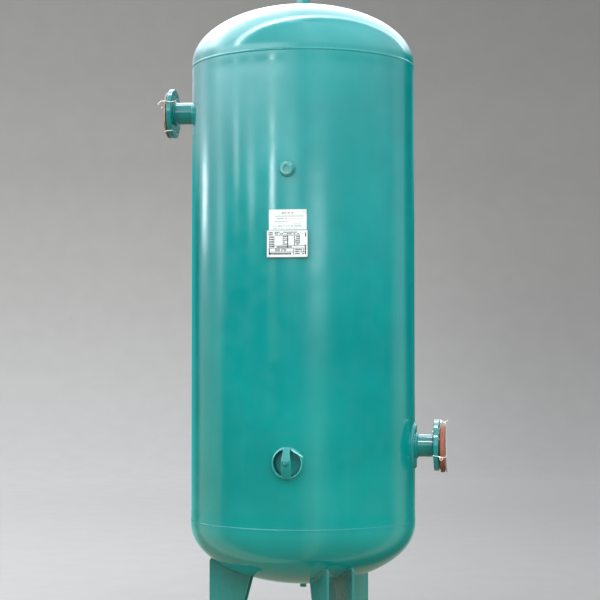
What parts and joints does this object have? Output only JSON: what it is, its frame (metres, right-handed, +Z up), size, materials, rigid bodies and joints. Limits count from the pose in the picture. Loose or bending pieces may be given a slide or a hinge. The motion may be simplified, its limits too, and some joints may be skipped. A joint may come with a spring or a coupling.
{
  "type": "air receiver tank",
  "caption": "Vertical compressed-air receiver on gusset legs, with flanged inlet and outlet branches, a clamped hand hole, threaded ports and a data plate.",
  "frame": {"origin": "centre of the anchor-bolt circle on the underside of the feet", "axes": "+Z up along the vessel's axis; -Y is the front, with the hand hole and data plate; the inlet branch points to -X and the outlet branch to +X"},
  "size_m": [1.1714, 0.9729, 2.664],
  "materials": {
    "painted_steel": "gloss enamel over steel",
    "cover_board": "dark red-brown resin-faced board",
    "cover_facing": "thin brown facing sheet",
    "tie_wire": "annealed tie wire",
    "gasket_rubber": "matt black",
    "plate_metal": "printed sheet",
    "rivet_metal": "plain",
    "label_paper": "white self-adhesive label"
  },
  "bodies": {
    "root": {"bottom_head": "painted_steel", "bottom_seam_weld": "painted_steel", "crown_socket": "painted_steel", "drain_socket": "painted_steel", "gauge_socket": "painted_steel", "hand_hole_neck": "painted_steel", "hand_hole_weld": "painted_steel", "inlet_cover": "cover_board", "inlet_cover_sheet": "cover_facing", "inlet_flange": "painted_steel", "inlet_pipe": "painted_steel", "inlet_tie_wires": "tie_wire", "inlet_welds": "painted_steel", "keeper_rod": "painted_steel", "leg_front_foot": "painted_steel", "leg_front_gusset_a": "painted_steel", "leg_front_gusset_b": "painted_steel", "leg_left_foot": "painted_steel", "leg_left_gusset_a": "painted_steel", "leg_left_gusset_b": "painted_steel", "leg_rear_foot": "painted_steel", "leg_rear_gusset_a": "painted_steel", "leg_rear_gusset_b": "painted_steel", "long_seam_weld": "painted_steel", "nameplate": "plate_metal", "nameplate_bracket": "painted_steel", "nameplate_rivets": "rivet_metal", "outlet_cover": "cover_board", "outlet_cover_sheet": "cover_facing", "outlet_flange": "painted_steel", "outlet_pad": "painted_steel", "outlet_pad_weld": "painted_steel", "outlet_pipe": "painted_steel", "outlet_tie_wires": "tie_wire", "outlet_welds": "painted_steel", "paper_label": "label_paper", "shell": "painted_steel", "socket_welds": "painted_steel", "top_head": "painted_steel", "top_seam_weld": "painted_steel"},
    "hand_hole_cover": {"hand_hole_cover": "painted_steel", "hand_hole_gasket": "gasket_rubber", "hand_hole_stud": "painted_steel"},
    "hand_hole_yoke": {"hand_hole_yoke": "painted_steel", "hand_hole_washer": "painted_steel"},
    "hand_hole_nut": {"hand_hole_nut": "painted_steel"},
    "gauge_plug_seal": {"gauge_plug_seal": "gasket_rubber"},
    "gauge_plug": {"gauge_plug": "painted_steel"}
  },
  "joints": [
    {"name": "hand_hole_nut_turn", "type": "hinge", "parent": "hand_hole_yoke", "child": "hand_hole_nut", "pos_m": [0, -0.502, 0.805], "axis": [0, -1, 0], "range_deg": [0, 2161]},
    {"name": "hand_hole_cover_slide", "type": "slide", "parent": "root", "child": "hand_hole_cover", "axis": [0, 1, 0], "range_m": [0, 0.009]},
    {"name": "hand_hole_yoke_slide", "type": "slide", "parent": "root", "child": "hand_hole_yoke", "axis": [0, -1, 0], "range_m": [0, 0.06]},
    {"name": "gauge_plug_slide", "type": "slide", "parent": "root", "child": "gauge_plug_seal", "axis": [0, -1, 0], "range_m": [0, 0.01386]},
    {"name": "gauge_plug_turn", "type": "hinge", "parent": "gauge_plug_seal", "child": "gauge_plug", "pos_m": [0, -0.4635, 1.912], "axis": [0, -1, 0], "range_deg": [0, 2160]}
  ],
  "couplings": [
    {"joint": "hand_hole_nut_turn", "follows": "hand_hole_cover_slide", "rad_per_m": 4188.8},
    {"joint": "gauge_plug_slide", "follows": "gauge_plug_turn", "m_per_rad": 0.00036749}
  ]
}
